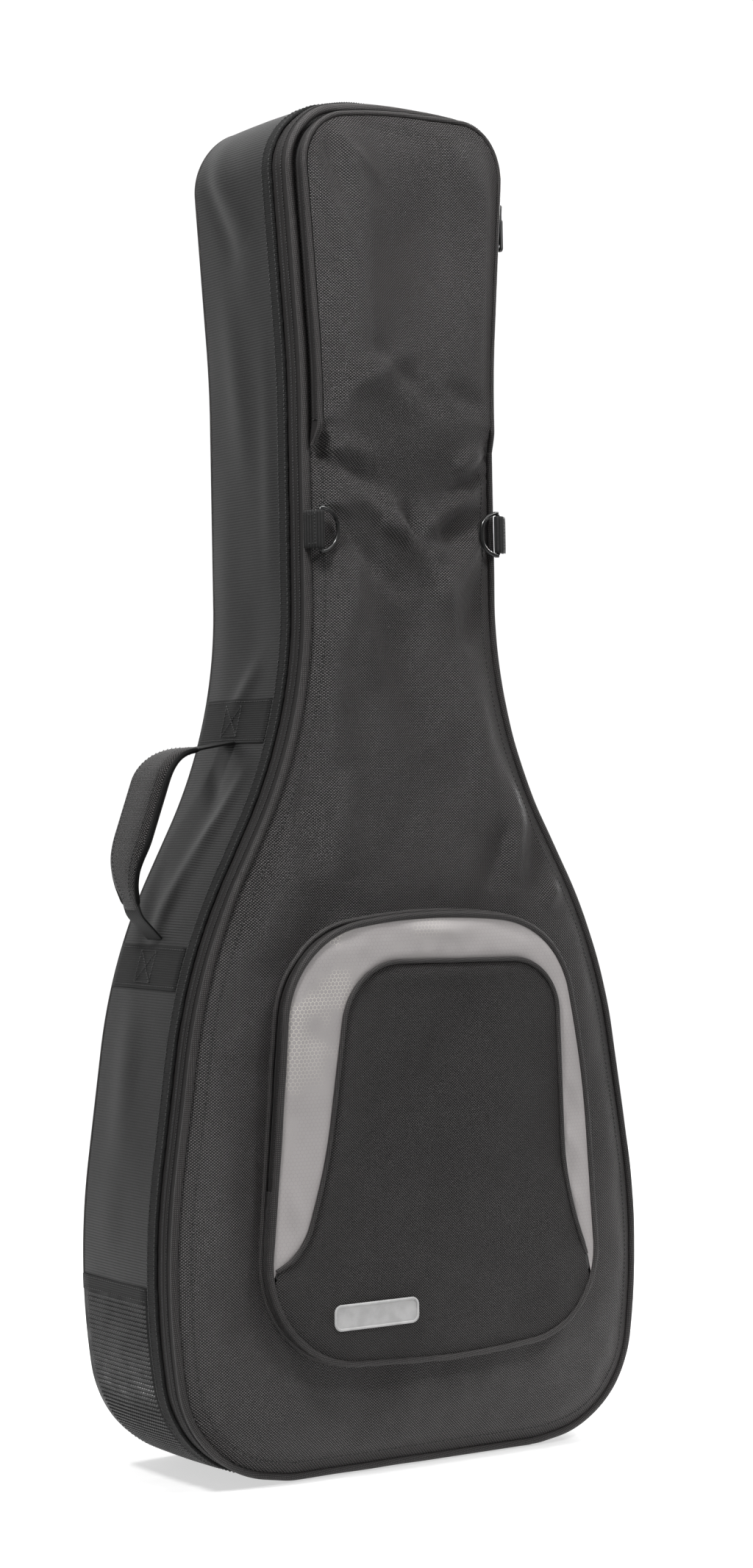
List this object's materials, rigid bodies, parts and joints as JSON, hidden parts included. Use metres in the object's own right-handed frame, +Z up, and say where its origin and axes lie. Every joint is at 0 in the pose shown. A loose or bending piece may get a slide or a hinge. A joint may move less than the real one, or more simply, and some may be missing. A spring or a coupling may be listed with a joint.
{
  "type": "padded gig bag",
  "caption": "Padded soft case for an acoustic guitar with a zipped door front, two front pockets, side carry handle and backpack straps.",
  "frame": {"origin": "on the ground under the middle of the flat base, at half the depth of the bag without its pockets", "axes": "+Z up towards the head end, -Y out of the front with the pockets, +X to the right as seen from the front"},
  "size_m": [0.4452, 0.1977, 1.0917],
  "materials": {
    "ballistic_nylon": "coarse basket weave, satin",
    "gusset_nylon": "fine ribbed weave, satin",
    "piping_nylon": "twisted weave, matt",
    "zip_tape": "smooth woven tape, matt",
    "webbing": "ribbed webbing, satin",
    "foam": "closed-cell foam, matt",
    "lining": "brushed fleece, matt",
    "guard_rubber": "embossed rubber, satin",
    "grey_ripstop": "honeycomb ripstop, satin",
    "strap_mesh": "air mesh, matt",
    "gunmetal": "gunmetal plate, gloss",
    "puller_rubber": "moulded rubber, satin",
    "black_plastic": "fine texture, matt",
    "label_thread": "embroidery thread, satin"
  },
  "bodies": {
    "shell": {"gusset_fabric": "gusset_nylon", "gusset_foam": "foam", "binding_tape": "webbing", "back_foam": "foam", "back_fabric": "ballistic_nylon", "lining": "lining", "main_zip_rear": "zip_tape", "rear_piping": "piping_nylon", "scuff_guard": "guard_rubber", "guard_trim": "webbing", "hinge_strip_rear": "gusset_nylon", "handle_anchors": "webbing", "neck_cradle": "foam", "base_pad": "foam", "strap_anchor": "webbing", "strap_tails": "webbing", "hang_loop": "webbing"},
    "cover": {"hinge_strip_front": "gusset_nylon", "front_fabric": "ballistic_nylon", "front_foam": "foam", "front_lining": "lining", "front_piping": "piping_nylon", "main_zip_front": "zip_tape", "head_zip_rear": "zip_tape", "pocket_base_piping": "piping_nylon", "pocket_wall": "gusset_nylon", "pocket_zip_rear": "zip_tape", "pocket_piping_lower": "piping_nylon", "pocket_foam_lower": "foam", "pocket_face_lower": "ballistic_nylon", "arch_piping_lower": "piping_nylon", "pocket_label": "label_thread", "ring_tabs": "webbing"},
    "head_flap": {"head_zip_front": "zip_tape", "head_piping": "piping_nylon", "head_foam": "foam", "head_panel": "ballistic_nylon"},
    "pocket_flap": {"pocket_zip_front": "zip_tape", "pocket_piping_upper": "piping_nylon", "pocket_foam_upper": "foam", "arch_panel": "grey_ripstop", "centre_panel": "ballistic_nylon", "arch_piping_upper": "piping_nylon"},
    "handle": {"handle_webbing": "webbing", "handle_grip": "ballistic_nylon"},
    "d_ring_left": {"d_ring_left": "gunmetal"},
    "d_ring_right": {"d_ring_right": "gunmetal"},
    "neck_strap": {"neck_strap": "webbing"},
    "strap_left": {"strap_pad_left": "strap_mesh", "ladder_lock_left": "black_plastic"},
    "strap_right": {"strap_pad_right": "strap_mesh", "ladder_lock_right": "black_plastic"},
    "main_upper_slider": {"main_upper_slider": "gunmetal"},
    "main_upper_puller": {"main_upper_puller": "puller_rubber"},
    "main_lower_slider": {"main_lower_slider": "gunmetal"},
    "main_lower_puller": {"main_lower_puller": "puller_rubber"},
    "head_slider": {"head_slider": "gunmetal"},
    "head_puller": {"head_puller": "puller_rubber"},
    "pocket_slider": {"pocket_slider": "gunmetal"},
    "pocket_puller": {"pocket_puller": "puller_rubber"}
  },
  "joints": [
    {"name": "cover_hinge", "type": "hinge", "parent": "shell", "child": "cover", "pos_m": [0.2225, -0.061, 0.175], "axis": [0, 0, 1], "range_deg": [0, 150]},
    {"name": "head_flap_hinge", "type": "hinge", "parent": "cover", "child": "head_flap", "pos_m": [0, -0.0942, 0.8345], "axis": [1, 0, 0], "range_deg": [0, 100]},
    {"name": "pocket_flap_hinge", "type": "hinge", "parent": "cover", "child": "pocket_flap", "pos_m": [0, -0.1094, 0.244], "axis": [1, 0, 0], "range_deg": [0, 80]},
    {"name": "handle_swing", "type": "hinge", "parent": "shell", "child": "handle", "pos_m": [-0.15315, 0.02, 0.50818], "axis": [0.4183, 0, 0.9083], "range_deg": [-50, 50]},
    {"name": "d_ring_left_swing", "type": "hinge", "parent": "cover", "child": "d_ring_left", "pos_m": [-0.0815, -0.086, 0.7495], "axis": [0, 0, -1], "range_deg": [0, 110]},
    {"name": "d_ring_right_swing", "type": "hinge", "parent": "cover", "child": "d_ring_right", "pos_m": [0.089, -0.086, 0.7495], "axis": [0, 0, 1], "range_deg": [0, 110]},
    {"name": "neck_strap_hinge", "type": "hinge", "parent": "shell", "child": "neck_strap", "pos_m": [0.039, 0.0189, 0.719], "axis": [0, 0, 1], "range_deg": [0, 110]},
    {"name": "strap_left_swing", "type": "hinge", "parent": "shell", "child": "strap_left", "pos_m": [-0.042, 0.083, 0.888], "axis": [1, 0, 0], "range_deg": [0, 150]},
    {"name": "strap_right_swing", "type": "hinge", "parent": "shell", "child": "strap_right", "pos_m": [0.042, 0.083, 0.888], "axis": [1, 0, 0], "range_deg": [0, 150]},
    {"name": "main_upper_slide", "type": "slide", "parent": "shell", "child": "main_upper_slider", "axis": [0, 0, 1], "range_m": [0, 0.04]},
    {"name": "main_lower_slide", "type": "slide", "parent": "shell", "child": "main_lower_slider", "axis": [0, 0, 1], "range_m": [-0.024, 0]},
    {"name": "head_slide", "type": "slide", "parent": "cover", "child": "head_slider", "axis": [0.0692, 0, 0.9976], "range_m": [-0.12, 0]},
    {"name": "pocket_slide", "type": "slide", "parent": "cover", "child": "pocket_slider", "axis": [-0.0576, 0, 0.9983], "range_m": [0, 0.07]},
    {"name": "main_upper_puller_swing", "type": "hinge", "parent": "main_upper_slider", "child": "main_upper_puller", "pos_m": [0.094, -0.061, 0.8], "axis": [0, -1, 0], "range_deg": [0, 165]},
    {"name": "main_lower_puller_swing", "type": "hinge", "parent": "main_lower_slider", "child": "main_lower_puller", "pos_m": [0.094, -0.061, 0.728], "axis": [0, -1, 0], "range_deg": [0, 165]},
    {"name": "head_puller_swing", "type": "hinge", "parent": "head_slider", "child": "head_puller", "pos_m": [0.09729, -0.08295, 1.0157], "axis": [0, -1, 0], "range_deg": [0, 165]},
    {"name": "pocket_puller_swing", "type": "hinge", "parent": "pocket_slider", "child": "pocket_puller", "pos_m": [0.16261, -0.0943, 0.25625], "axis": [0, -1, 0], "range_deg": [0, 165]}
  ]
}
